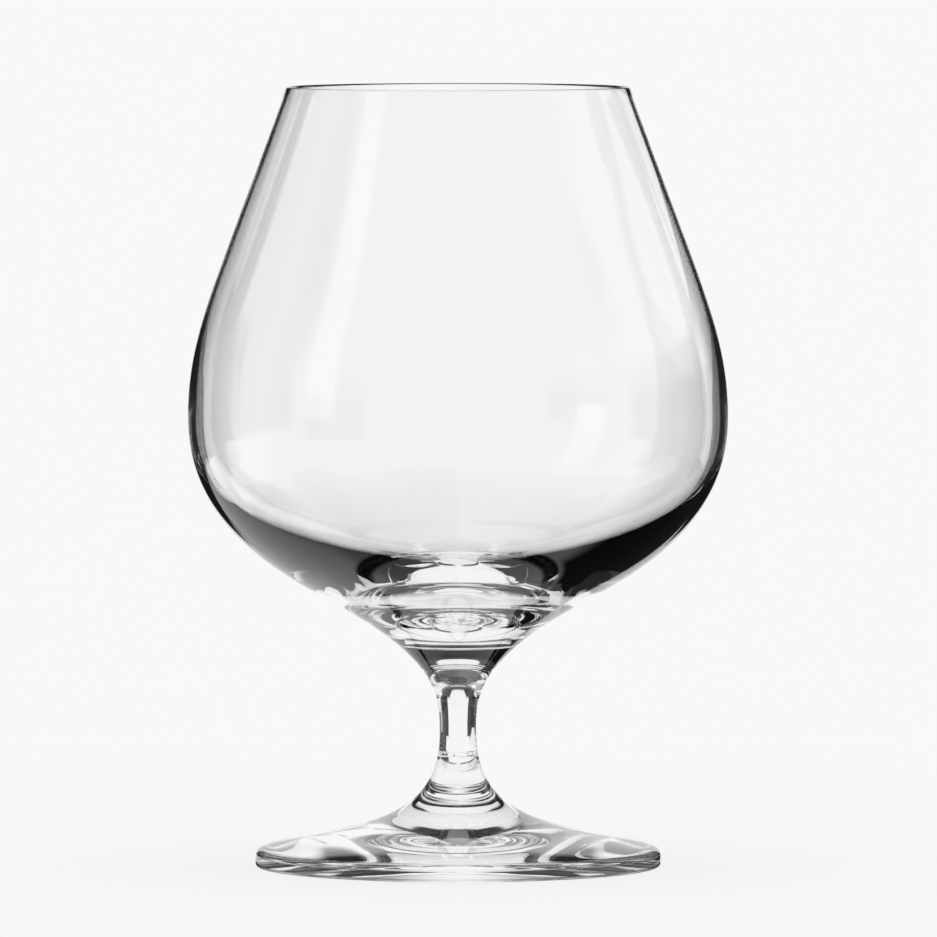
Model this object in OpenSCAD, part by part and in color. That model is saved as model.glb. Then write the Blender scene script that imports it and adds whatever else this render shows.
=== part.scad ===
// Brandy snifter: a blown bowl, a short stem and a foot of clear glass, fused face to face.
// Millimetres, +Z up. The origin is the middle of the foot's underside, on the table.

/* [Bowl] */
// Height of the bowl, from its joint with the stem up to the rim
bowl_h = 107.5; // [96:0.5:124]
// Outside diameter at the rim
rim_d = 66.3; // [56:0.1:80]
// Outside diameter at the belly, the widest place
belly_d = 104; // [94:0.5:116]
// Height of the belly above the joint
belly_h = 44; // [38:0.5:52]
// Outside diameter where the round of the bowl turns into the flare
turn_d = 47; // [42:0.5:54]
// Height of that turn above the joint
turn_h = 8; // [6.6:0.1:10]

/* [Walls] */
// Wall at the rim, which the flame has rounded
rim_t = 0.9; // [0.7:0.05:1.6]
// Thinnest wall, about half way from the belly up to the rim
shoulder_t = 0.8; // [0.6:0.05:1.4]
// Wall at the belly
belly_t = 1.5; // [1:0.1:2.6]
// Wall at the turn, where the glass grows thick
heel_t = 4.8; // [3.6:0.1:6]
// Glass from the joint up to the lowest point of the hollow
base_t = 6.5; // [5.2:0.1:8.5]

/* [Stem] */
// Length of the stem between its two joints
stem_len = 21.1; // [17:0.1:28]
// Diameter at the waist, the thinnest place
waist_d = 7.1; // [5.5:0.1:9]
// Height of the waist above the lower joint
waist_h = 4.4; // [3:0.1:7]
// Diameter of the joint between stem and bowl
top_joint_d = 22.8; // [20:0.1:26]

/* [Foot] */
// Diameter of the foot
foot_d = 78; // [70:0.5:90]
// Height of the foot's rounded edge
edge_t = 3.6; // [2.8:0.1:4.4]
// Radius of the round along the top of the edge
edge_round = 1.6; // [0.8:0.1:1.8]
// Radius of the round along the bottom of the edge
sole_round = 0.6; // [0.3:0.1:0.9]
// Width of the flat ring that the foot rests on
rest_w = 2.9; // [1.5:0.1:6]
// Depth of the shallow hollow inside that ring
dish_h = 1.2; // [0.5:0.1:2.5]
// Diameter of the collar, where the foot's dome turns up into the neck
collar_d = 13.4; // [11:0.1:17]
// Height of the collar above the table
collar_h = 15; // [12:0.1:18]
// Length of the neck, from the collar up to the joint with the stem
neck_len = 6.4; // [5:0.1:9]
// Diameter of the joint between foot and stem
low_joint_d = 7.85; // [6.5:0.05:9.5]

/* [Hidden] */
$fn = 96;

// Heights of the two joints above the table
low_joint_z = collar_h + neck_len;
top_joint_z = low_joint_z + stem_len;

// Lean of the surface from upright, in degrees, where its curves meet
rim_lean = -20;
turn_lean = 61;
top_joint_lean = 49.7;
low_joint_lean = -10.6;
collar_lean = -37;
edge_lean = -70;

// Handles of each curve at its lower and its upper end, as shares of the distance between its ends
flare_shares = [0.26, 0.42];
round_shares = [0.296, 0.442];
shoulder_shares = [0.233, 0.628];
floor_shares = [0.2, 0.3];
stem_top_shares = [0.27, 0.56];
stem_low_shares = [0.293, 0.379];
dome_shares = [0.277, 0.32];
neck_shares = [0.278, 0.421];

// The share of the bowl's round over which its wall grows thin, from the heel up
thinning_share = 0.9;

// Steps along a long curve and along a short one
long_steps = 24;
short_steps = 8;

// Points nearer to each other than this are one point of an outline
one_point = 0.001;

// Clear glass
glass_colour = [0.86, 0.92, 0.93, 0.5];

// In the outline's plane, the direction that a surface runs in, and the one that its outside faces
function running(lean) = [sin(lean), cos(lean)];
function facing(lean) = [cos(lean), -sin(lean)];

// The four points of a cubic curve from p to q, which leaves p and reaches q at the given leans
function curve(p, p_lean, q, q_lean, shares) =
    let (reach = norm(q - p))
    [p, p + shares[0] * reach * running(p_lean), q - shares[1] * reach * running(q_lean), q];

// The point on a curve at t, from 0 to 1
function along(c, t) =
    pow(1 - t, 3) * c[0] + 3 * t * pow(1 - t, 2) * c[1] + 3 * t * t * (1 - t) * c[2] + pow(t, 3) * c[3];

// The direction of a curve at t
function heading(c, t) =
    let (d = pow(1 - t, 2) * (c[1] - c[0]) + 2 * t * (1 - t) * (c[2] - c[1]) + t * t * (c[3] - c[2]))
    d / norm(d);

// The point a wall's thickness inside a curve that runs upwards
function inside(c, t, wall) =
    let (h = heading(c, t))
    along(c, t) + wall * [-h[1], h[0]];

// The first and the second half of a curve, which are curves too
function lower_half(c) = [c[0], (c[0] + c[1]) / 2, (c[0] + 2 * c[1] + c[2]) / 4, along(c, 1 / 2)];
function upper_half(c) = [along(c, 1 / 2), (c[1] + 2 * c[2] + c[3]) / 4, (c[2] + c[3]) / 2, c[3]];

// A smooth change from one value to another as t runs from 0 to 1
function eased(from, to, t) = let (u = min(t, 1)) from + (to - from) * u * u * (3 - 2 * u);

// Points along a curve, and points inside it along a wall that changes smoothly over a share of it
function points(c, steps) = [for (i = [0 : steps]) along(c, i / steps)];
function inside_points(c, walls, steps, share = 1) =
    [for (i = [0 : steps]) inside(c, i / steps, eased(walls[0], walls[1], i / steps / share))];

// Points along a round of radius r about m, between two angles
function round_points(m, r, from, to, steps) =
    [for (i = [0 : steps]) let (a = from + (to - from) * i / steps) m + r * [cos(a), sin(a)]];

function reversed(list) = [for (i = [len(list) - 1 : -1 : 0]) list[i]];

// Neighbouring curves share an end, which the outline keeps once
function single(list) =
    [for (i = [0 : len(list) - 1]) if (i == 0 || norm(list[i] - list[i - 1]) > one_point) list[i]];

module lathe(outline) {
    rotate_extrude() polygon(single(outline));
}

// The bowl's outline has its joint at z = 0
module bowl() {
    joint = [top_joint_d / 2, 0];
    turn = [turn_d / 2, turn_h];
    belly = [belly_d / 2, belly_h];
    bead = [(rim_d - rim_t) / 2, bowl_h - rim_t / 2];
    rim = bead + rim_t / 2 * facing(rim_lean);
    flare_curve = curve(joint, top_joint_lean, turn, turn_lean, flare_shares);
    round_curve = curve(turn, turn_lean, belly, 0, round_shares);
    shoulder_curve = curve(belly, 0, rim, rim_lean, shoulder_shares);
    floor_curve = curve([0, base_t], 90, inside(round_curve, 0, heel_t), turn_lean, floor_shares);
    outer = concat(
        points(flare_curve, short_steps),
        points(round_curve, long_steps),
        points(shoulder_curve, long_steps),
        round_points(bead, rim_t / 2, -rim_lean, 180 - rim_lean, short_steps));
    hollow = concat(
        points(floor_curve, short_steps),
        inside_points(round_curve, [heel_t, belly_t], long_steps, thinning_share),
        inside_points(lower_half(shoulder_curve), [belly_t, shoulder_t], long_steps / 2),
        inside_points(upper_half(shoulder_curve), [shoulder_t, rim_t], long_steps / 2));
    color(glass_colour)
        translate([0, 0, top_joint_z])
            lathe(concat([[0, 0]], outer, reversed(hollow)));
}

// The stem's outline has its lower joint at z = 0
module stem() {
    low_joint = [low_joint_d / 2, 0];
    waist = [waist_d / 2, waist_h];
    top_joint = [top_joint_d / 2, stem_len];
    color(glass_colour)
        translate([0, 0, low_joint_z])
            lathe(concat(
                [[0, 0]],
                points(curve(low_joint, low_joint_lean, waist, 0, stem_low_shares), short_steps),
                points(curve(waist, 0, top_joint, top_joint_lean, stem_top_shares), long_steps),
                [[0, stem_len]]));
}

// The foot rests on the flat ring between its hollow and its lower round
module foot() {
    sole_mid = [foot_d / 2 - sole_round, sole_round];
    edge_mid = [foot_d / 2 - edge_round, edge_t - edge_round];
    edge = edge_mid + edge_round * facing(edge_lean);
    collar = [collar_d / 2, collar_h];
    low_joint = [low_joint_d / 2, low_joint_z];
    dish_reach = sole_mid[0] - rest_w;
    dish_r = (pow(dish_reach, 2) + pow(dish_h, 2)) / (2 * dish_h);
    dish_turn = asin(dish_reach / dish_r);
    color(glass_colour)
        lathe(concat(
            round_points([0, dish_h - dish_r], dish_r, 90, 90 - dish_turn, short_steps),
            round_points(sole_mid, sole_round, -90, 0, short_steps),
            round_points(edge_mid, edge_round, 0, -edge_lean, short_steps),
            points(curve(edge, edge_lean, collar, collar_lean, dome_shares), long_steps),
            points(curve(collar, collar_lean, low_joint, low_joint_lean, neck_shares), short_steps),
            [[0, low_joint_z]]));
}

bowl();
stem();
foot();
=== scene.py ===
# Brandy snifter of clear glass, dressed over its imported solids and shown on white.
import bpy
import math
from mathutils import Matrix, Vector


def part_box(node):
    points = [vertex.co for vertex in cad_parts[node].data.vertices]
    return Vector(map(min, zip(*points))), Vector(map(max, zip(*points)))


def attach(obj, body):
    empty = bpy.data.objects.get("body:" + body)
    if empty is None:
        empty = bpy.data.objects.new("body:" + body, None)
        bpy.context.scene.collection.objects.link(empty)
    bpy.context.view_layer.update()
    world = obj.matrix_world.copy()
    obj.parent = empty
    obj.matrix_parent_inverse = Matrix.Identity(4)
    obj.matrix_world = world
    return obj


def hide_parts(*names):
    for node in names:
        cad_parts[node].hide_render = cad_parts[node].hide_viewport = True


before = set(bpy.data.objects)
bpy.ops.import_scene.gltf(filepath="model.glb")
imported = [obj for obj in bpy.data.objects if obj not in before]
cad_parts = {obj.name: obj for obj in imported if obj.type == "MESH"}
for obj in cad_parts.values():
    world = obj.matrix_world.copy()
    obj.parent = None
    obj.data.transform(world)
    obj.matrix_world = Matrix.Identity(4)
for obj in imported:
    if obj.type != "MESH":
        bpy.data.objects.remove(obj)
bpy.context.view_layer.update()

bowlLow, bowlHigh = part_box("bowl")
stemLow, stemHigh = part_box("stem")
footLow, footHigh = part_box("foot")
mm = 0.001
onePoint = 1e-5     # mm, points of an outline nearer than this are one

scene = bpy.context.scene
print("frame loaded:", ", ".join(sorted(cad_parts)))


# Small helpers for node trees

def addNode(tree, kind, label="", **settings):
    node = tree.nodes.new(kind)
    node.label = label
    for name, value in settings.items():
        setattr(node, name, value)
    return node


def plug(tree, socket, value):
    # a socket is linked, a plain value is set
    if isinstance(value, bpy.types.NodeSocket):
        tree.links.new(value, socket)
    else:
        socket.default_value = value


def feed(tree, node, **sockets):
    # each keyword is a socket's name with its spaces left out
    for name, value in sockets.items():
        socket = next(s for s in node.inputs if s.name.replace(" ", "") == name and s.enabled)
        plug(tree, socket, value)
    return node


def feedInOrder(tree, node, values):
    # values for the first sockets; what comes back is the first output
    for socket, value in zip(node.inputs, values):
        plug(tree, socket, value)
    return node.outputs[0]


def maths(tree, operation, *values):
    node = addNode(tree, "ShaderNodeMath", operation.lower(), operation=operation)
    return feedInOrder(tree, node, values)


def smoothBand(tree, value, low, high, toLow=0.0, toHigh=1.0):
    # goes from toLow to toHigh as the value goes from low to high
    node = addNode(tree, "ShaderNodeMapRange", "soft edge", interpolation_type="SMOOTHSTEP")
    return feedInOrder(tree, node, (value, low, high, toLow, toHigh))


def windowAt(tree, value, middle, half, soft):
    # 1 within half of the middle, 0 past the soft edge
    off = maths(tree, "ABSOLUTE", maths(tree, "SUBTRACT", value, middle))
    return smoothBand(tree, off, half, half + soft, 1.0, 0.0)


def mixed(tree, share, first, second):
    node = addNode(tree, "ShaderNodeMix", "mix", data_type="FLOAT")
    for socket, value in zip((node.inputs[0], node.inputs[2], node.inputs[3]), (share, first, second)):
        plug(tree, socket, value)
    return node.outputs[0]


def mixedShaders(tree, share, first, second):
    return feedInOrder(tree, addNode(tree, "ShaderNodeMixShader"), (share, first, second))


def separated(tree, vector):
    return feed(tree, addNode(tree, "ShaderNodeSeparateXYZ"), Vector=vector).outputs


def emptyMaterial(name):
    material = bpy.data.materials.new(name)
    material.use_nodes = True
    material.node_tree.nodes.remove(material.node_tree.nodes["Principled BSDF"])
    return material, material.node_tree


# Outlines: cubic curves that lean from upright, in millimetres

def running(lean):
    return Vector((math.sin(math.radians(lean)), math.cos(math.radians(lean))))


def facing(lean):
    return Vector((math.cos(math.radians(lean)), -math.sin(math.radians(lean))))


def cubic(start, startLean, end, endLean, shares):
    start, end = Vector(start), Vector(end)
    reach = (end - start).length
    return [start, start + running(startLean) * shares[0] * reach,
            end - running(endLean) * shares[1] * reach, end]


def pointOn(curve, t):
    weights = (1 - t) ** 3, 3 * t * (1 - t) ** 2, 3 * t * t * (1 - t), t ** 3
    return sum((p * w for p, w in zip(curve, weights)), Vector((0, 0)))


def headingOn(curve, t):
    weights = (1 - t) ** 2, 2 * t * (1 - t), t * t
    steps = (curve[1] - curve[0], curve[2] - curve[1], curve[3] - curve[2])
    return sum((s * w for s, w in zip(steps, weights)), Vector((0, 0))).normalized()


def insideOf(curve, t, wall):
    heading = headingOn(curve, t)
    return pointOn(curve, t) + Vector((-heading.y, heading.x)) * wall


def eased(low, high, t):
    u = min(t, 1)
    return low + (high - low) * u * u * (3 - 2 * u)


def along(curve, steps):
    return [pointOn(curve, i / steps) for i in range(steps + 1)]


def alongInside(curve, steps, wallAt):
    return [insideOf(curve, i / steps, wallAt(i / steps)) for i in range(steps + 1)]


def roundAbout(middle, radius, start, end, steps):
    angles = [math.radians(start + (end - start) * i / steps) for i in range(steps + 1)]
    return [Vector(middle) + Vector((math.cos(a), math.sin(a))) * radius for a in angles]


def straight(start, end, steps):
    return [Vector(start).lerp(Vector(end), i / steps) for i in range(steps + 1)]


def joinedUp(*stretches):
    # neighbouring stretches share an end, which is kept once
    outline = []
    for point in (p for stretch in stretches for p in stretch):
        if not outline or (point - outline[-1]).length > onePoint:
            outline.append(point)
    return outline


def radiusOf(low, high):
    # a solid's facets stop a little short on one side, and the glass stays inside its box
    return min(-low.x, high.x, -low.y, high.y) / mm


# The lathe: a Geometry Nodes tree that turns an outline about the axis

def openTree(name, sockets):
    tree = bpy.data.node_groups.new(name, "GeometryNodeTree")
    tree.is_modifier = True
    for socketName, kind in sockets:
        tree.interface.new_socket(socketName, in_out="INPUT", socket_type="NodeSocket" + kind)
    tree.interface.new_socket("Glass Piece", in_out="OUTPUT", socket_type="NodeSocketGeometry")
    return tree, addNode(tree, "NodeGroupInput").outputs


def latheTree():
    tree, given = openTree("latheTree", (
        ("Outline", "Geometry"), ("Steps Round", "Int"), ("Merge Distance", "Float"),
        ("Low Joint", "Float"), ("High Joint", "Float"), ("Ripple Height", "Float"),
        ("Ripple Size", "Float"), ("Ripple Detail", "Float"), ("Ripple Roughness", "Float"),
        ("Ripple Seed", "Float"), ("Calm From", "Float"), ("Calm Above", "Float"),
        ("Glass", "Material"), ("Fused Joint", "Material")))
    link = tree.links.new

    # one row of the grid for each point of the outline, one column for each step round
    size = addNode(tree, "GeometryNodeAttributeDomainSize", component="MESH")
    link(given["Outline"], size.inputs["Geometry"])
    points = size.outputs["Point Count"]
    around = maths(tree, "ADD", given["Steps Round"], 1)
    grid = feed(tree, addNode(tree, "GeometryNodeMeshGrid", "outline by steps round"),
                SizeX=1.0, SizeY=1.0, VerticesX=points, VerticesY=around)
    place = addNode(tree, "GeometryNodeInputPosition").outputs[0]
    here = separated(tree, place)
    step = maths(tree, "MULTIPLY", maths(tree, "ADD", here["X"], 0.5),
                 maths(tree, "SUBTRACT", points, 1))
    sample = addNode(tree, "GeometryNodeSampleIndex", "outline point",
                     data_type="FLOAT_VECTOR", domain="POINT")
    feed(tree, sample, Geometry=given["Outline"], Value=place, Index=maths(tree, "ROUND", step))
    outline = separated(tree, sample.outputs["Value"])
    turn = maths(tree, "MULTIPLY", maths(tree, "ADD", here["Y"], 0.5), 2 * math.pi)
    turned = feed(tree, addNode(tree, "ShaderNodeCombineXYZ", "turned about the axis"),
                  X=maths(tree, "MULTIPLY", outline["X"], maths(tree, "COSINE", turn)),
                  Y=maths(tree, "MULTIPLY", outline["X"], maths(tree, "SINE", turn)), Z=outline["Z"])
    lathed = feed(tree, addNode(tree, "GeometryNodeSetPosition", "lathe"),
                  Geometry=grid.outputs["Mesh"], Position=turned.outputs[0])
    closed = feed(tree, addNode(tree, "GeometryNodeMergeByDistance", "close the seam and the poles"),
                  Geometry=lathed.outputs[0], Distance=given["Merge Distance"])

    # hand work: a ripple far smaller than the wall, which fades out at the joints and higher up
    noise = addNode(tree, "ShaderNodeTexNoise", "ripple", noise_dimensions="4D")
    feed(tree, noise, Vector=place, W=given["Ripple Seed"],
         Scale=maths(tree, "DIVIDE", 1.0, given["Ripple Size"]),
         Detail=given["Ripple Detail"], Roughness=given["Ripple Roughness"])
    bothWays = maths(tree, "SUBTRACT", noise.outputs[0], 0.5)
    height = maths(tree, "MULTIPLY", bothWays, given["Ripple Height"])
    gaps = []
    for name in ("Low Joint", "High Joint"):
        gaps.append(maths(tree, "ABSOLUTE", maths(tree, "SUBTRACT", here["Z"], given[name])))
        height = maths(tree, "MULTIPLY", height, smoothBand(tree, gaps[-1], 0.0, given["Ripple Size"]))
    calm = smoothBand(tree, here["Z"], given["Calm From"], given["Calm Above"], 1.0, 0.0)
    height = maths(tree, "MULTIPLY", height, calm)
    shift = addNode(tree, "ShaderNodeVectorMath", "ripple along the normal", operation="SCALE")
    link(addNode(tree, "GeometryNodeInputNormal").outputs[0], shift.inputs[0])
    link(height, shift.inputs["Scale"])
    rippled = feed(tree, addNode(tree, "GeometryNodeSetPosition", "hand work"),
                   Geometry=closed.outputs[0], Offset=shift.outputs[0])

    # flat faces at a joint's height are where the glass runs on into the next piece
    outwards = feed(tree, addNode(tree, "GeometryNodeFlipFaces", "faces outwards"),
                    Mesh=rippled.outputs[0])
    smooth = feed(tree, addNode(tree, "GeometryNodeSetShadeSmooth"), Geometry=outwards.outputs[0])
    realized = feed(tree, addNode(tree, "GeometryNodeRealizeInstances"), Geometry=smooth.outputs[0])
    glassy = feed(tree, addNode(tree, "GeometryNodeSetMaterial", "glass"),
                  Geometry=realized.outputs[0], Material=given["Glass"])
    near = [maths(tree, "LESS_THAN", gap, given["Merge Distance"]) for gap in gaps]
    fused = feed(tree, addNode(tree, "GeometryNodeSetMaterial", "fused joints"),
                 Geometry=glassy.outputs[0], Selection=maths(tree, "MAXIMUM", *near),
                 Material=given["Fused Joint"])
    link(fused.outputs[0], addNode(tree, "NodeGroupOutput").inputs[0])
    return tree


def plainMesh(name, outline):
    # the outline as a chain of edges in the XZ plane, in metres
    mesh = bpy.data.meshes.new(name)
    mesh.from_pydata([(p.x * mm, 0.0, p.y * mm) for p in outline],
                     [(i, i + 1) for i in range(len(outline) - 1)], [])
    return mesh


def applied(piece, tree, inputs):
    # runs the tree on the piece and keeps the result as a plain mesh
    modifier = piece.modifiers.new(tree.name, "NODES")
    modifier.node_group = tree
    for item in tree.interface.items_tree:
        if item.item_type == "SOCKET" and item.in_out == "INPUT" and item.name in inputs:
            modifier[item.identifier] = inputs[item.name]
    shape = piece.evaluated_get(bpy.context.evaluated_depsgraph_get())
    mesh = bpy.data.meshes.new_from_object(shape)
    piece.modifiers.remove(modifier)
    piece.data = mesh
    mesh.name = piece.name
    return mesh


def made(name, mesh, tree, inputs):
    piece = bpy.data.objects.new(name, mesh)
    scene.collection.objects.link(piece)
    mesh = applied(piece, tree, inputs)
    print(f"{name}: {len(mesh.polygons)} faces")
    return piece


# Glass

def clearGlass(name, settings):
    material = bpy.data.materials.new(name)
    material.use_nodes = True
    tree = material.node_tree
    shader = tree.nodes["Principled BSDF"]
    feed(tree, shader, BaseColor=settings["colour"], Roughness=settings["roughness"],
         IOR=settings["ior"], TransmissionWeight=1.0)
    # faint cords in the glass, drawn out along the axis
    where = addNode(tree, "ShaderNodeTexCoord")
    stretch = addNode(tree, "ShaderNodeMapping", "drawn out along the axis")
    tree.links.new(where.outputs["Object"], stretch.inputs["Vector"])
    stretch.inputs["Scale"].default_value = (1.0, 1.0, settings["cordStretch"])
    noise = addNode(tree, "ShaderNodeTexNoise", "cords in the glass")
    feed(tree, noise, Vector=stretch.outputs[0], Scale=1.0 / (settings["cordSize"] * mm),
         Detail=settings["cordDetail"], Roughness=settings["cordRoughness"])
    bump = addNode(tree, "ShaderNodeBump")
    feed(tree, bump, Strength=settings["cordStrength"], Distance=settings["cordHeight"] * mm,
         Height=noise.outputs[0])
    tree.links.new(bump.outputs[0], shader.inputs["Normal"])
    return material


def fusedJoint():
    # the glass is one body across a joint, so light runs straight on
    material, tree = emptyMaterial("fusedJoint")
    clear = addNode(tree, "ShaderNodeBsdfTransparent", "no surface here")
    tree.links.new(clear.outputs[0], tree.nodes["Material Output"].inputs["Surface"])
    return material


glassSettings = {
    "colour": (0.992, 0.994, 0.993, 1.0),
    "roughness": 0.0,
    "ior": 1.52,
    "cordSize": 9.0,        # mm
    "cordStretch": 0.35,    # less than 1 draws the cords out along the axis
    "cordHeight": 0.02,     # mm
    "cordDetail": 2.0,
    "cordRoughness": 0.5,
    "cordStrength": 0.5,
}
turning = latheTree()

lathe = {   # lengths and heights in metres
    "Steps Round": 256,
    "Merge Distance": 1e-7,
    "Low Joint": -1.0,          # a height that the piece never reaches means no joint
    "High Joint": -1.0,
    "Ripple Height": 0.0,
    "Ripple Size": 0.012,
    "Ripple Detail": 1.0,
    "Ripple Roughness": 0.4,
    "Ripple Seed": 1.0,
    "Calm From": 0.06,          # heights between which the ripple dies away
    "Calm Above": 0.08,
    "Glass": clearGlass("clearGlass", glassSettings),
    "Fused Joint": fusedJoint(),
}

# Bowl

bowl = {    # millimetres; the shares place the handles of each curve
    "rimDiameter": 66.3,
    "turnDiameter": 47.0,
    "turnHeight": 8.0,          # above the joint with the stem
    "bellyHeight": 44.0,
    "rimWall": 0.9,
    "shoulderWall": 0.8,
    "bellyWall": 1.5,
    "heelWall": 4.8,
    "baseThickness": 6.5,
    "rimLean": -20.0,           # degrees from upright
    "turnLean": 61.0,
    "jointLean": 49.7,
    "flareShares": (0.26, 0.42),
    "roundShares": (0.296, 0.442),
    "shoulderShares": (0.233, 0.628),
    "floorShares": (0.2, 0.3),
    "thinningShare": 0.9,       # of the round, over which the wall grows thin
    "rippleHeight": 0.03,       # the hand work in the thick heel
    "steps": {"joint": 6, "floor": 24, "flare": 24, "wall": 60, "rim": 16},     # along the outline
}
jointDiameter = 22.8            # where bowl and stem meet


def bowlOutline(b):
    low = bowlLow.z / mm
    high = bowlHigh.z / mm
    belly = Vector((radiusOf(bowlLow, bowlHigh), low + b["bellyHeight"]))
    turn = Vector((b["turnDiameter"] / 2, low + b["turnHeight"]))
    bead = Vector(((b["rimDiameter"] - b["rimWall"]) / 2, high - b["rimWall"] / 2))
    rim = bead + facing(b["rimLean"]) * b["rimWall"] / 2
    flare = cubic((jointDiameter / 2, low), b["jointLean"], turn, b["turnLean"], b["flareShares"])
    roundPart = cubic(turn, b["turnLean"], belly, 0.0, b["roundShares"])
    shoulder = cubic(belly, 0.0, rim, b["rimLean"], b["shoulderShares"])
    hollowFloor = cubic((0.0, low + b["baseThickness"]), 90.0, insideOf(roundPart, 0.0, b["heelWall"]),
                        b["turnLean"], b["floorShares"])
    steps = b["steps"]

    def roundWall(t):
        return eased(b["heelWall"], b["bellyWall"], t / b["thinningShare"])

    def shoulderWall(t):
        if t < 0.5:
            return eased(b["bellyWall"], b["shoulderWall"], 2 * t)
        return eased(b["shoulderWall"], b["rimWall"], 2 * t - 1)

    hollow = joinedUp(along(hollowFloor, steps["floor"]),
                      alongInside(roundPart, steps["wall"], roundWall),
                      alongInside(shoulder, steps["wall"], shoulderWall))
    return joinedUp(straight((0.0, low), (jointDiameter / 2, low), steps["joint"]),
                    along(flare, steps["flare"]), along(roundPart, steps["wall"]),
                    along(shoulder, steps["wall"]),
                    roundAbout(bead, b["rimWall"] / 2, -b["rimLean"], 180 - b["rimLean"], steps["rim"]),
                    hollow[::-1])


bowlPiece = made("bowl_glass", plainMesh("bowl_glass", bowlOutline(bowl)), turning,
                 dict(lathe, **{"Low Joint": bowlLow.z, "Ripple Height": bowl["rippleHeight"] * mm}))
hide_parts("bowl")

# Stem

stem = {    # millimetres
    "waistDiameter": 7.1,
    "waistHeight": 4.4,         # above the joint with the foot
    "lowJointDiameter": 7.85,
    "lowJointLean": -10.6,      # degrees from upright
    "topShares": (0.27, 0.56),
    "lowShares": (0.293, 0.379),
    "steps": {"lowJoint": 4, "low": 20, "top": 70, "highJoint": 6},
}


def stemOutline(s):
    low = stemLow.z / mm
    high = stemHigh.z / mm
    lowJoint = Vector((s["lowJointDiameter"] / 2, low))
    waist = Vector((s["waistDiameter"] / 2, low + s["waistHeight"]))
    highJoint = Vector((jointDiameter / 2, high))
    lowPart = cubic(lowJoint, s["lowJointLean"], waist, 0.0, s["lowShares"])
    topPart = cubic(waist, 0.0, highJoint, bowl["jointLean"], s["topShares"])
    steps = s["steps"]
    return joinedUp(straight((0.0, low), lowJoint, steps["lowJoint"]), along(lowPart, steps["low"]),
                    along(topPart, steps["top"]), straight(highJoint, (0.0, high), steps["highJoint"]))


stemPiece = made("stem_glass", plainMesh("stem_glass", stemOutline(stem)), turning,
                 dict(lathe, **{"Low Joint": stemLow.z, "High Joint": stemHigh.z}))
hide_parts("stem")

# Foot

foot = {    # millimetres
    "edgeHeight": 3.6,
    "edgeRound": 1.6,
    "soleRound": 0.6,
    "restWidth": 2.9,           # of the flat ring that the glass stands on
    "dishHeight": 1.2,          # of the hollow under the foot
    "collarDiameter": 13.4,
    "collarHeight": 15.0,
    "collarLean": -37.0,        # degrees from upright
    "edgeLean": -70.0,
    "domeShares": (0.277, 0.32),
    "neckShares": (0.278, 0.421),
    "steps": {"dish": 40, "rest": 3, "sole": 10, "edge": 16, "dome": 80, "neck": 30, "joint": 4},
}


def footOutline(f):
    high = footHigh.z / mm
    radius = radiusOf(footLow, footHigh)
    soleMiddle = Vector((radius - f["soleRound"], f["soleRound"]))
    edgeMiddle = Vector((radius - f["edgeRound"], f["edgeHeight"] - f["edgeRound"]))
    edge = edgeMiddle + facing(f["edgeLean"]) * f["edgeRound"]
    collar = Vector((f["collarDiameter"] / 2, f["collarHeight"]))
    lowJoint = Vector((stem["lowJointDiameter"] / 2, high))
    dishReach = soleMiddle.x - f["restWidth"]
    dishRadius = (dishReach ** 2 + f["dishHeight"] ** 2) / (2 * f["dishHeight"])
    dishTurn = math.degrees(math.asin(dishReach / dishRadius))
    dishMiddle = (0.0, f["dishHeight"] - dishRadius)
    dome = cubic(edge, f["edgeLean"], collar, f["collarLean"], f["domeShares"])
    neck = cubic(collar, f["collarLean"], lowJoint, stem["lowJointLean"], f["neckShares"])
    steps = f["steps"]
    return joinedUp(roundAbout(dishMiddle, dishRadius, 90, 90 - dishTurn, steps["dish"]),
                    straight((dishReach, 0.0), (soleMiddle.x, 0.0), steps["rest"]),
                    roundAbout(soleMiddle, f["soleRound"], -90, 0, steps["sole"]),
                    roundAbout(edgeMiddle, f["edgeRound"], 0, -f["edgeLean"], steps["edge"]),
                    along(dome, steps["dome"]), along(neck, steps["neck"]),
                    straight(lowJoint, (0.0, high), steps["joint"]))


footPiece = made("foot_glass", plainMesh("foot_glass", footOutline(foot)), turning,
                 dict(lathe, **{"High Joint": footHigh.z}))
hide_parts("foot")

# Seed bubbles in the glass, where stem and foot were fused

seeds = {   # lengths and heights in metres
    "Count": 7,
    "Ring Radius": 0.0024,
    "Ring Height": stemLow.z + 0.1 * mm,    # just above the joint
    "Ring Spread": 0.0007,
    "Ring Flatness": 0.2,       # how much of the spread is left along the axis
    "Seed Radius": 0.0002,
    "Seed Spread": 0.4,         # share of the radius
    "Seed Segments": 24,
    "Seed Rings": 12,
    "Seed": 5,
}


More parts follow.
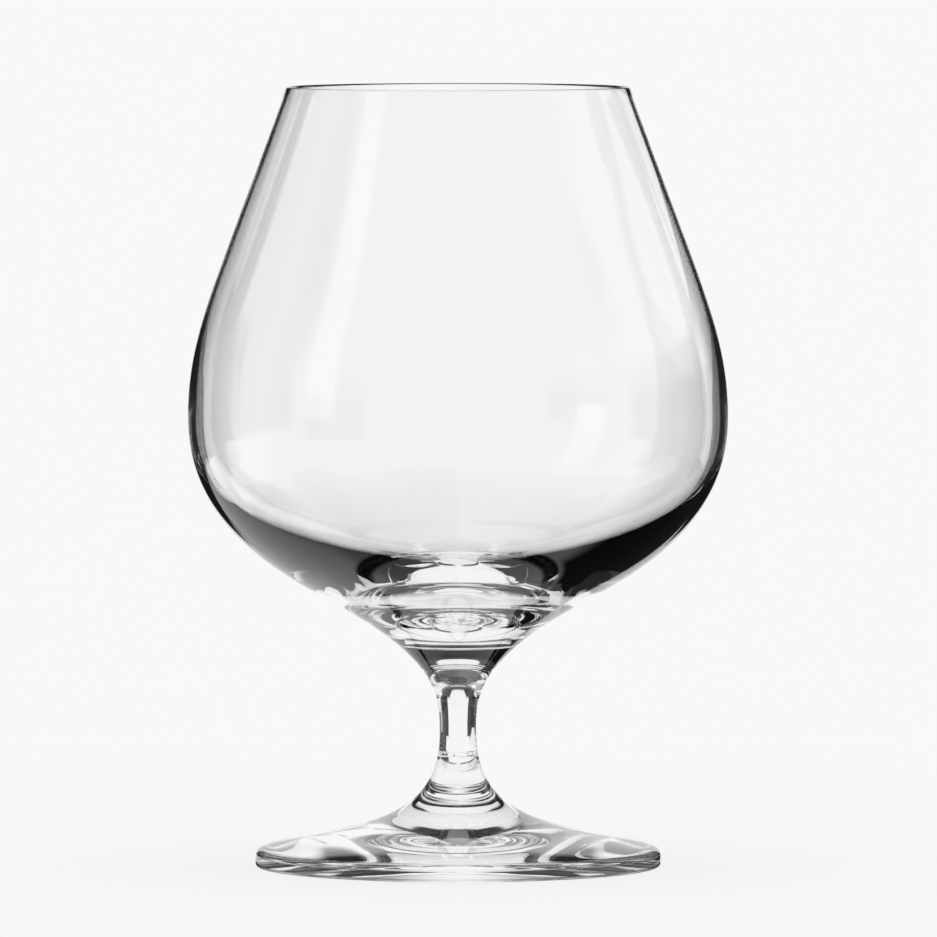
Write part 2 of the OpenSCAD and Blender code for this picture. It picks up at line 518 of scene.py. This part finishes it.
def seedTree():
    tree, given = openTree("seedTree", (
        ("Count", "Int"), ("Ring Radius", "Float"), ("Ring Height", "Float"), ("Ring Spread", "Float"),
        ("Ring Flatness", "Float"), ("Seed Radius", "Float"), ("Seed Spread", "Float"),
        ("Seed Segments", "Int"), ("Seed Rings", "Int"), ("Seed", "Int"), ("Glass", "Material")))
    link = tree.links.new
    ring = feed(tree, addNode(tree, "GeometryNodeMeshCircle", "ring at the joint"),
                Vertices=given["Count"], Radius=given["Ring Radius"])
    # each seed moves off the ring at random, mostly along the joint
    scatter = addNode(tree, "FunctionNodeRandomValue", "scatter", data_type="FLOAT_VECTOR")
    low, high = [s for s in scatter.inputs if s.type == "VECTOR"]
    link(maths(tree, "MULTIPLY", given["Ring Spread"], -1.0), low)
    link(given["Ring Spread"], high)
    link(given["Seed"], scatter.inputs["Seed"])
    scattered = next(s for s in scatter.outputs if s.type == "VECTOR")
    flatness = feed(tree, addNode(tree, "ShaderNodeCombineXYZ"), X=1.0, Y=1.0, Z=given["Ring Flatness"])
    height = feed(tree, addNode(tree, "ShaderNodeCombineXYZ"), Z=given["Ring Height"])
    offset = addNode(tree, "ShaderNodeVectorMath", "along the joint", operation="MULTIPLY_ADD")
    offset = feedInOrder(tree, offset, (scattered, flatness.outputs[0], height.outputs[0]))
    placed = feed(tree, addNode(tree, "GeometryNodeSetPosition"),
                  Geometry=ring.outputs[0], Offset=offset)
    ball = feed(tree, addNode(tree, "GeometryNodeMeshUVSphere"), Segments=given["Seed Segments"],
                Rings=given["Seed Rings"], Radius=1.0)
    size = addNode(tree, "FunctionNodeRandomValue", "size", data_type="FLOAT")
    low, high = [s for s in size.inputs if s.type == "VALUE" and s.enabled]
    for socket, operation in ((low, "SUBTRACT"), (high, "ADD")):
        share = maths(tree, operation, 1.0, given["Seed Spread"])
        link(maths(tree, "MULTIPLY", given["Seed Radius"], share), socket)
    link(given["Seed"], size.inputs["Seed"])
    radius = next(s for s in size.outputs if s.type == "VALUE" and s.enabled)
    spread = feed(tree, addNode(tree, "GeometryNodeInstanceOnPoints"),
                  Points=placed.outputs[0], Instance=ball.outputs[0], Scale=radius)
    realized = feed(tree, addNode(tree, "GeometryNodeRealizeInstances"), Geometry=spread.outputs[0])
    smooth = feed(tree, addNode(tree, "GeometryNodeSetShadeSmooth"), Geometry=realized.outputs[0])
    glassy = feed(tree, addNode(tree, "GeometryNodeSetMaterial"),
                  Geometry=smooth.outputs[0], Material=given["Glass"])
    link(glassy.outputs[0], addNode(tree, "NodeGroupOutput").inputs[0])
    return tree


# inside a bubble light goes from glass to air
airSettings = dict(glassSettings, colour=(1.0, 1.0, 1.0, 1.0), ior=1 / glassSettings["ior"])
seedPiece = made("seed_bubbles", bpy.data.meshes.new("seed_bubbles"), seedTree(),
                 dict(seeds, Glass=clearGlass("bubbleAir", airSettings)))

for piece in (bowlPiece, stemPiece, footPiece, seedPiece):
    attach(piece, "root")
print("glass turned:", len(bpy.data.meshes), "meshes")

# Studio surround, as the glass sees it: white behind the glass between low dark cards, and dark above

studio = {  # azimuths in degrees from +Y towards +X, elevations in degrees, levels of light
    "white": 0.939,             # how the background shows
    "fill": 0.55,               # what the surround gives to plain surfaces
    "halfTurn": (85.0, 105.0),  # to each side, where behind the glass turns into in front of it
    "frontTurn": (-100.0, 60.0),    # in front, from the left level to the right one
    "frontLeft": 0.55,
    "frontRight": 0.88,
    "behindAbove": (25.0, 31.0),    # the dark above, behind the glass
    "upper": 0.02,
    "lanes": (0.0, -90.0),      # azimuths where the white goes up as far as that
    "narrowing": (9.0, 17.0, 0.0, 11.0),    # to each side of a lane, and how far the dark comes down there
    "widening": (33.0, 43.0, 0.0, -24.0),   # to each side of +Y, and how far it goes up again there
    "overheadAbove": (50.0, 65.0),
    "overhead": 0.05,
    "darkCorners": (            # low over the horizon: azimuth, half width, level and top
        (-46.5, 20.0, 0.02, 10.0),
        (-125.0, 11.0, 0.06, 3.0),
        (72.0, 24.0, 0.02, 3.0),
    ),
    "cornerSoft": 7.0,
    "strips": (                 # azimuth and its half width, elevation and its half width, level
        (-118.0, 5.5, 22.0, 20.0, 1.15),
        (121.0, 4.0, 6.0, 6.0, 1.08),
    ),
    "stripSoft": 4.0,
}


def glassRay(tree):
    path = addNode(tree, "ShaderNodeLightPath")
    return maths(tree, "MAXIMUM", path.outputs["Is Glossy Ray"], path.outputs["Is Transmission Ray"])


def bearing(tree, here):
    # degrees from +Y towards +X
    return maths(tree, "DEGREES", maths(tree, "ARCTAN2", here["X"], here["Y"]))


def levelAround(tree, azimuth, s):
    # white behind the glass, less in front of it; what counts as behind is returned too
    front = smoothBand(tree, azimuth, *s["frontTurn"], s["frontLeft"], s["frontRight"])
    behind = smoothBand(tree, maths(tree, "ABSOLUTE", azimuth), *s["halfTurn"], 1.0, 0.0)
    return mixed(tree, behind, front, s["white"]), behind


def studioWorld(s):
    world = bpy.data.worlds.new("studioWorld")
    scene.world = world
    world.use_nodes = True
    tree = world.node_tree
    here = separated(tree, addNode(tree, "ShaderNodeTexCoord").outputs["Generated"])
    azimuth = bearing(tree, here)
    elevation = maths(tree, "DEGREES", maths(tree, "ARCSINE", here["Z"]))
    level, behind = levelAround(tree, azimuth, s)
    # dark above
    off = [maths(tree, "ABSOLUTE", maths(tree, "SUBTRACT", azimuth, lane)) for lane in s["lanes"]]
    narrowing = smoothBand(tree, maths(tree, "MINIMUM", *off), *s["narrowing"])
    widening = smoothBand(tree, maths(tree, "ABSOLUTE", azimuth), *s["widening"])
    comesDown = maths(tree, "ADD", narrowing, widening)
    above = smoothBand(tree, maths(tree, "ADD", elevation, comesDown), *s["behindAbove"])
    level = mixed(tree, maths(tree, "MULTIPLY", above, behind), level, s["upper"])
    level = mixed(tree, smoothBand(tree, elevation, *s["overheadAbove"]), level, s["overhead"])
    # dark low down beside the cards
    for middle, half, dark, top in s["darkCorners"]:
        corner = maths(tree, "MULTIPLY", windowAt(tree, azimuth, middle, half, s["cornerSoft"]),
                       smoothBand(tree, elevation, top, top + s["cornerSoft"], 1.0, 0.0))
        level = mixed(tree, corner, level, dark)
    # strip lights, which show as long soft reflections on the bowl
    for middle, half, height, halfHeight, strength in s["strips"]:
        lit = maths(tree, "MULTIPLY", windowAt(tree, azimuth, middle, half, s["stripSoft"]),
                    windowAt(tree, elevation, height, halfHeight, s["stripSoft"]))
        level = mixed(tree, lit, level, strength)
    level = mixed(tree, glassRay(tree), s["fill"], level)
    path = addNode(tree, "ShaderNodeLightPath")
    level = mixed(tree, path.outputs["Is Camera Ray"], level, s["white"])
    tree.links.new(level, tree.nodes["Background"].inputs["Color"])


def shownMesh(name, points, faces, material):
    mesh = bpy.data.meshes.new(name)
    mesh.from_pydata(points, [], faces)
    mesh.materials.append(material)
    shown = bpy.data.objects.new(name, mesh)
    scene.collection.objects.link(shown)
    return shown


# Floor: white with a faint shadow; the glass sees dark fields on it beside white lanes, and a painted
# contact shadow under the foot

floor = {   # metres and degrees; a lane or a ring has its middle, its half width and its soft edge
    "radius": 0.6,
    "sides": 96,
    "drop": 0.00002,            # under the foot's resting ring, so that the two never coincide
    "colour": (0.9, 0.9, 0.9, 1.0),
    "shadowShare": 0.14,
    "fade": (0.10, 0.34),       # where the floor's shading gives way to the plain background
    "dark": 0.028,              # level of the dark fields and of the painted contact shadow ring
    "darkFrom": (0.040, 0.046),     # the fields begin this far from the axis
    "laneEdge": (0.04, 0.10, 14.0, 26.0),   # degrees to each side of +Y, from one distance to another
    "laneSoft": 4.0,
    "sideLane": (-90.0, 22.0, 6.0),     # the lane behind the glass seen from its right side
    "sideFrom": (0.13, 0.16),
    "diagonal": (0.0, 0.060, 0.028),    # and the one behind it seen from its front right corner
    "diagonalTo": (0.38, 0.42),
    "contact": (0.0375, 0.003, 0.003),  # painted contact shadow: a dark ring where the foot rests
    "frontGap": (0.002, 0.012),     # it is open in front, and less wide at the back
    "backGap": (0.0003, 0.0038),
}


def floorMaterial(f):
    material, tree = emptyMaterial("paleFloor")
    where = addNode(tree, "ShaderNodeTexCoord").outputs["Object"]
    here = separated(tree, where)
    length = addNode(tree, "ShaderNodeVectorMath", operation="LENGTH")
    tree.links.new(where, length.inputs[0])
    reach = length.outputs["Value"]
    azimuth = bearing(tree, here)
    level, behind = levelAround(tree, azimuth, studio)
    # dark fields behind the glass, with the white lanes left out
    laneEdge = smoothBand(tree, reach, *f["laneEdge"])
    pastEdge = maths(tree, "SUBTRACT", maths(tree, "ABSOLUTE", azimuth), laneEdge)
    dark = maths(tree, "MULTIPLY", smoothBand(tree, reach, *f["darkFrom"]),
                 smoothBand(tree, pastEdge, 0.0, f["laneSoft"]))
    side = maths(tree, "MULTIPLY", smoothBand(tree, reach, *f["sideFrom"]),
                 windowAt(tree, azimuth, *f["sideLane"]))
    across = maths(tree, "ADD", here["X"], here["Y"])
    diagonal = maths(tree, "MULTIPLY", smoothBand(tree, reach, *f["diagonalTo"], 1.0, 0.0),
                     windowAt(tree, across, *f["diagonal"]))
    diagonal = maths(tree, "MULTIPLY", diagonal, maths(tree, "LESS_THAN", here["X"], 0.0))
    outsideLanes = maths(tree, "SUBTRACT", 1.0, maths(tree, "MAXIMUM", side, diagonal))
    dark = maths(tree, "MULTIPLY", maths(tree, "MULTIPLY", dark, outsideLanes), behind)
    # painted contact shadow: a dark ring on the floor under the foot's resting ring, which only the glass
    # sees
    aside = maths(tree, "ABSOLUTE", here["X"])
    gap = mixed(tree, maths(tree, "LESS_THAN", here["Y"], 0.0),
                smoothBand(tree, aside, *f["backGap"]), smoothBand(tree, aside, *f["frontGap"]))
    ring = maths(tree, "MULTIPLY", windowAt(tree, reach, *f["contact"]), gap)
    dark = maths(tree, "MAXIMUM", dark, ring)
    throughGlass = feed(tree, addNode(tree, "ShaderNodeEmission", "as the glass sees it"),
                        Color=mixed(tree, dark, level, f["dark"]))
    # seen straight: plain white, with a share of a diffuse floor that keeps the shadow
    plain = feed(tree, addNode(tree, "ShaderNodeEmission", "plain white"),
                 Color=(studio["white"],) * 3 + (1.0,))
    diffuse = feed(tree, addNode(tree, "ShaderNodeBsdfDiffuse", "keeps the shadow"), Color=f["colour"])
    straightOn = mixedShaders(tree, f["shadowShare"], plain.outputs[0], diffuse.outputs[0])
    clear = addNode(tree, "ShaderNodeBsdfTransparent")
    straightOn = mixedShaders(tree, smoothBand(tree, reach, *f["fade"]), straightOn, clear.outputs[0])
    surface = mixedShaders(tree, glassRay(tree), straightOn, throughGlass.outputs[0])
    tree.links.new(surface, tree.nodes["Material Output"].inputs["Surface"])
    return material


def makeFloor(f):
    turns = [2 * math.pi * i / f["sides"] for i in range(f["sides"])]
    points = [(f["radius"] * math.cos(a), f["radius"] * math.sin(a), -f["drop"]) for a in turns]
    disc = shownMesh("floor", points, [tuple(range(f["sides"]))], floorMaterial(f))


cards = {
    "level": 0.02,
    "fadeOut": (0.20, 0.30),    # metres from the axis, to each side
    "panels": (                 # x and y of each end, bottom and top, in mm
        ((85.0, 215.0), (140.0, 215.0), 0.0, 240.0),
        ((140.0, 215.0), (300.0, 215.0), 0.0, 165.0),
        ((-140.0, 215.0), (-85.0, 215.0), 0.0, 240.0),
        ((-300.0, 215.0), (-140.0, 215.0), 45.0, 165.0),
        ((-215.0, 85.0), (-215.0, 140.0), 0.0, 240.0),
        ((-215.0, 140.0), (-215.0, 215.0), 45.0, 165.0),
    ),
}


def cardMaterial(c):
    material, tree = emptyMaterial("darkCard")
    here = separated(tree, addNode(tree, "ShaderNodeTexCoord").outputs["Object"])
    side = maths(tree, "ABSOLUTE", here["X"])
    dark = feed(tree, addNode(tree, "ShaderNodeEmission", "dark card"),
                Color=smoothBand(tree, side, *c["fadeOut"], c["level"], studio["white"]))
    tree.links.new(dark.outputs[0], tree.nodes["Material Output"].inputs["Surface"])
    return material


def makeCards(c):
    # dark cards on each side of the white lanes behind the glass, which only the glass sees
    points, faces = [], []
    for start, end, low, high in c["panels"]:
        faces.append(tuple(range(len(points), len(points) + 4)))
        corners = ((start, low), (end, low), (end, high), (start, high))
        points += [(x * mm, y * mm, z * mm) for (x, y), z in corners]
    shown = shownMesh("darkCards", points, faces, cardMaterial(c))
    shown.visible_camera = False
    shown.visible_diffuse = False
    shown.visible_shadow = False


softbox = {     # metres
    "place": (0.0, 0.0, 1.6),
    "aim": (0.0, 0.0, 0.0),
    "width": 1.6,
    "depth": 1.6,
    "power": 16.0,              # watts
}


def makeLight(name, b):
    # lights the plain surfaces; the glass sees the surround in its place
    light = bpy.data.lights.new(name, "AREA")
    light.shape = "RECTANGLE"
    light.size, light.size_y = b["width"], b["depth"]
    light.energy = b["power"]
    lamp = bpy.data.objects.new(name, light)
    lamp.location = b["place"]
    lamp.rotation_euler = (Vector(b["aim"]) - Vector(b["place"])).to_track_quat("-Z", "Y").to_euler()
    lamp.visible_glossy = False
    lamp.visible_transmission = False
    scene.collection.objects.link(lamp)


studioWorld(studio)
makeFloor(floor)
makeCards(cards)
makeLight("overheadLight", softbox)
print("studio set")

# Camera, as the photograph was taken

view = {
    "distance": 2400.0,         # mm, from the glass's axis
    "height": 201.6,
    "right": 2.02,              # the aim passes this far to the right of the axis
    "pitch": 2.982,             # degrees down
    "lens": 480.1,
    "sensor": 36.0,
    "clip": (0.1, 100.0),       # metres
}
camera = bpy.data.cameras.new("camera")
camera.lens = view["lens"]
camera.sensor_width = view["sensor"]
camera.clip_start, camera.clip_end = view["clip"]
cameraObject = bpy.data.objects.new("camera", camera)
cameraObject.location = (view["right"] * mm, -view["distance"] * mm, view["height"] * mm)
cameraObject.rotation_euler = (math.radians(90 - view["pitch"]), 0.0, 0.0)
scene.collection.objects.link(cameraObject)
scene.camera = cameraObject

bounces = 12            # with more of them the dark crescent in the heel grows light
clearBounces = 32       # through the fused joints and the floor's far part

scene.view_settings.view_transform = "Standard"
scene.cycles.max_bounces = bounces
scene.cycles.transmission_bounces = bounces
scene.cycles.glossy_bounces = bounces
scene.cycles.transparent_max_bounces = clearBounces
scene.cycles.caustics_reflective = True
scene.cycles.caustics_refractive = True
